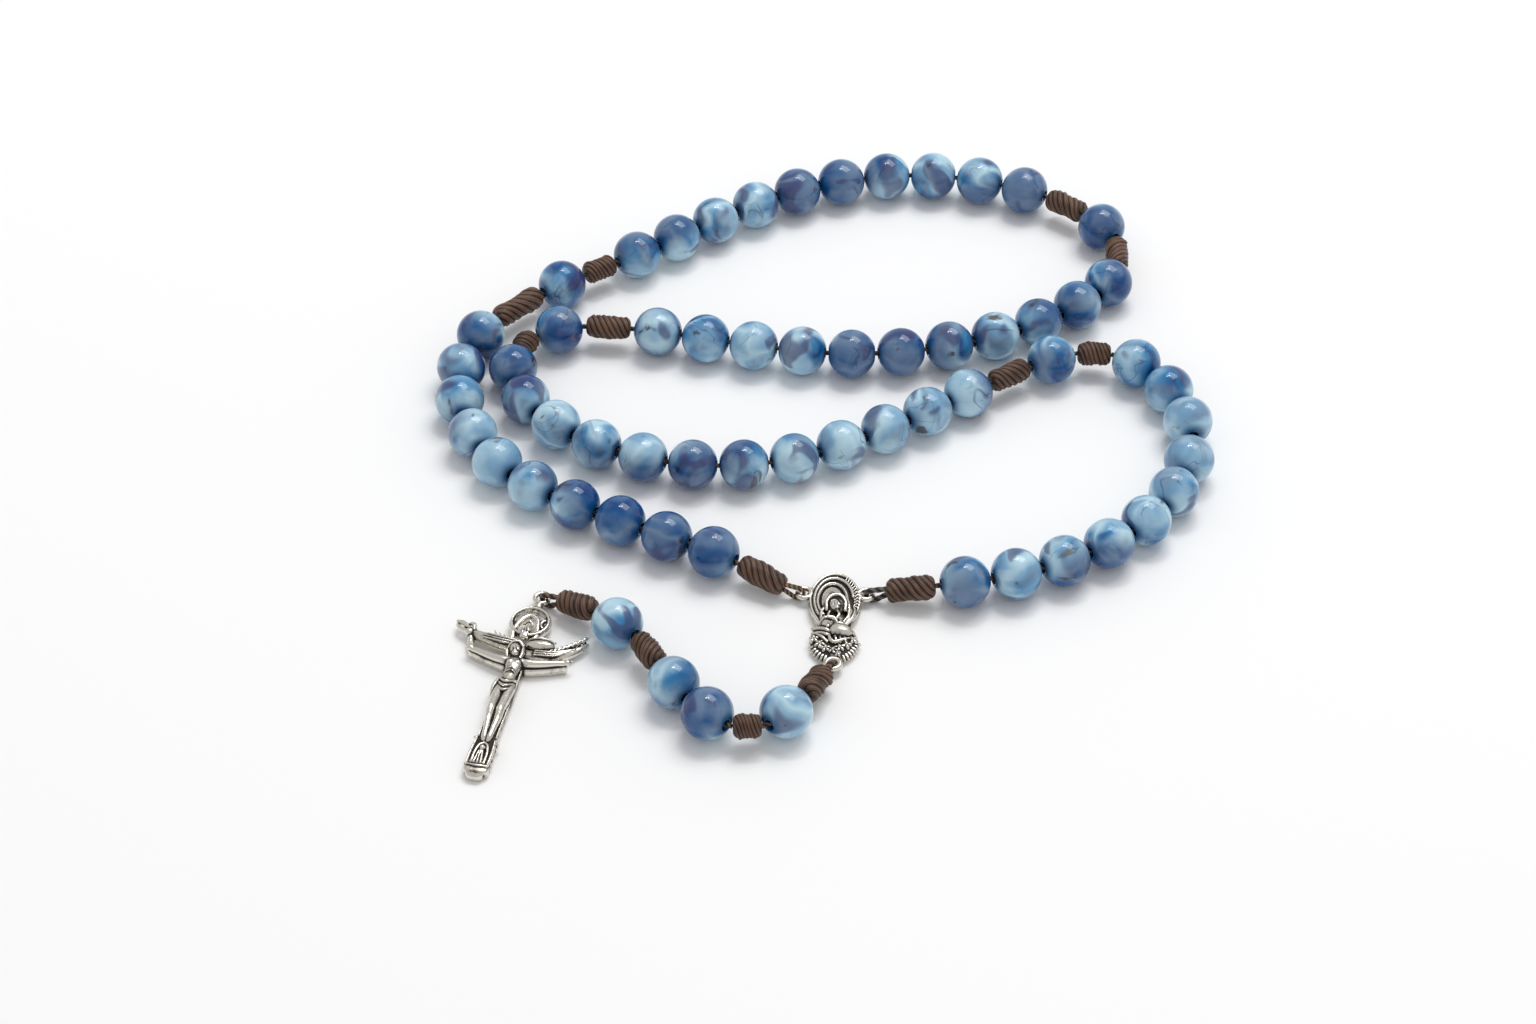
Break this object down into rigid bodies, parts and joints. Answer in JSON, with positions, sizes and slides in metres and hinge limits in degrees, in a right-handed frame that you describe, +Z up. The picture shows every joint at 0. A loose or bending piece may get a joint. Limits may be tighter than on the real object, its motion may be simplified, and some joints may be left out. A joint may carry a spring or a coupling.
{
  "type": "rosary",
  "caption": "Beaded prayer string: marbled beads in groups on a knotted cord loop, joined by a cast medal, with a short beaded pendant and a cast crucifix.",
  "frame": {"origin": "on the table under the middle of the rosary's bounding box, as it lies", "axes": "+Z up from the table, +Y away from the crucifix along the rosary's length, +X to the right when seen from the crucifix's side"},
  "size_m": [0.1244, 0.1429, 0.008],
  "materials": {
    "marbled_bead": "polished, marbled blue",
    "wrapped_knot": "waxed brown cord wound round itself",
    "waxed_cord": "waxed brown cord",
    "antique_silver": "antiqued silver casting, dark in the recesses"
  },
  "bodies": {
    "strand": {"knot_01": "wrapped_knot", "knot_02": "wrapped_knot", "knot_03": "wrapped_knot", "knot_04": "wrapped_knot", "knot_05": "wrapped_knot", "knot_06": "wrapped_knot", "knot_07": "wrapped_knot", "knot_08": "wrapped_knot", "knot_09": "wrapped_knot", "knot_10": "wrapped_knot", "our_father_cord_1": "waxed_cord", "our_father_cord_2": "waxed_cord", "our_father_cord_3": "waxed_cord", "our_father_cord_4": "waxed_cord", "medal_left_loop": "waxed_cord", "medal_right_loop": "waxed_cord"},
    "decade_1": {"decade_1_beads": "marbled_bead", "decade_1_cord": "waxed_cord"},
    "decade_2": {"decade_2_beads": "marbled_bead", "decade_2_cord": "waxed_cord"},
    "decade_3": {"decade_3_beads": "marbled_bead", "decade_3_cord": "waxed_cord"},
    "decade_4": {"decade_4_beads": "marbled_bead", "decade_4_cord": "waxed_cord"},
    "decade_5": {"decade_5_beads": "marbled_bead", "decade_5_cord": "waxed_cord"},
    "our_father_1": {"our_father_bead_1": "marbled_bead"},
    "our_father_2": {"our_father_bead_2": "marbled_bead"},
    "our_father_3": {"our_father_bead_3": "marbled_bead"},
    "our_father_4": {"our_father_bead_4": "marbled_bead"},
    "medal": {"centre_medal": "antique_silver"},
    "pendant_top": {"medal_lower_loop": "waxed_cord", "knot_11": "wrapped_knot", "pendant_cord_1": "waxed_cord", "knot_12": "wrapped_knot"},
    "pendant_middle": {"pendant_cord_2": "waxed_cord", "knot_13": "wrapped_knot"},
    "pendant_end": {"pendant_cord_3": "waxed_cord", "knot_14": "wrapped_knot", "crucifix_loop": "waxed_cord"},
    "crucifix": {"crucifix": "antique_silver"},
    "pendant_bead_1_body": {"pendant_bead_1": "marbled_bead"},
    "pendant_bead_2_body": {"pendant_bead_2": "marbled_bead"},
    "pendant_bead_3_body": {"pendant_bead_3": "marbled_bead"},
    "pendant_bead_4_body": {"pendant_bead_4": "marbled_bead"}
  },
  "joints": [
    {"name": "decade_1_lift", "type": "hinge", "parent": "strand", "child": "decade_1", "pos_m": [-0.01271, -0.02925, 0.00361], "axis": [-0.5721, 0.8202, 0.0055], "range_deg": [0, 22]},
    {"name": "decade_2_lift", "type": "hinge", "parent": "strand", "child": "decade_2", "pos_m": [-0.03438, 0.04321, 0.004], "axis": [0.9712, 0.2382, 0], "range_deg": [0, 22]},
    {"name": "decade_3_lift", "type": "hinge", "parent": "strand", "child": "decade_3", "pos_m": [0.05019, 0.04237, 0.004], "axis": [-0.9809, -0.1944, 0], "range_deg": [0, 22]},
    {"name": "decade_4_lift", "type": "hinge", "parent": "strand", "child": "decade_4", "pos_m": [-0.04911, 0.02078, 0.004], "axis": [-0.9944, 0.106, 0], "range_deg": [0, 22]},
    {"name": "decade_5_lift", "type": "hinge", "parent": "strand", "child": "decade_5", "pos_m": [0.04724, 0.01976, 0.004], "axis": [-0.4905, -0.8714, -0.005], "range_deg": [0, 22]},
    {"name": "our_father_1_spin", "type": "hinge", "parent": "strand", "child": "our_father_1", "pos_m": [-0.04275, 0.03774, 0.004], "axis": [0.8136, 0.5814, 0], "continuous": true},
    {"name": "our_father_2_spin", "type": "hinge", "parent": "strand", "child": "our_father_2", "pos_m": [0.04809, 0.05324, 0.004], "axis": [0.5395, -0.842, 0], "continuous": true},
    {"name": "our_father_3_spin", "type": "hinge", "parent": "strand", "child": "our_father_3", "pos_m": [-0.04273, 0.026, 0.004], "axis": [-0.9543, -0.2987, 0], "continuous": true},
    {"name": "our_father_4_spin", "type": "hinge", "parent": "strand", "child": "our_father_4", "pos_m": [0.03753, 0.01841, 0.004], "axis": [0.9205, 0.3908, 0], "continuous": true},
    {"name": "medal_tilt", "type": "hinge", "parent": "strand", "child": "medal", "pos_m": [0.0017, -0.03367, 0.00142], "axis": [-0.9994, 0.0349, 0], "range_deg": [0, 20]},
    {"name": "pendant_swing", "type": "hinge", "parent": "medal", "child": "pendant_top", "pos_m": [0.00118, -0.04861, 0.00142], "axis": [0, 0, 1], "range_deg": [-4, 25]},
    {"name": "pendant_middle_bend", "type": "hinge", "parent": "pendant_top", "child": "pendant_middle", "pos_m": [-0.01361, -0.06396, 0.004], "axis": [0, 0, 1], "range_deg": [-2, 12]},
    {"name": "pendant_end_bend", "type": "hinge", "parent": "pendant_middle", "child": "pendant_end", "pos_m": [-0.02779, -0.04589, 0.004], "axis": [0, 0, 1], "range_deg": [-8, 12]},
    {"name": "crucifix_swing", "type": "hinge", "parent": "pendant_end", "child": "crucifix", "pos_m": [-0.04278, -0.03463, 0.00142], "axis": [0, 0, 1], "range_deg": [-30, 0]},
    {"name": "pendant_bead_1_spin", "type": "hinge", "parent": "pendant_top", "child": "pendant_bead_1_body", "pos_m": [-0.00583, -0.06096, 0.004], "axis": [-0.6933, -0.7207, 0], "continuous": true},
    {"name": "pendant_bead_2_spin", "type": "hinge", "parent": "pendant_middle", "child": "pendant_bead_2_body", "pos_m": [-0.01734, -0.06127, 0.004], "axis": [-0.7505, 0.6608, 0], "continuous": true},
    {"name": "pendant_bead_3_spin", "type": "hinge", "parent": "pendant_middle", "child": "pendant_bead_3_body", "pos_m": [-0.02241, -0.05502, 0.004], "axis": [-0.5288, 0.8488, 0], "continuous": true},
    {"name": "pendant_bead_4_spin", "type": "hinge", "parent": "pendant_end", "child": "pendant_bead_4_body", "pos_m": [-0.03104, -0.04263, 0.004], "axis": [-0.7309, 0.6825, 0], "continuous": true}
  ]
}
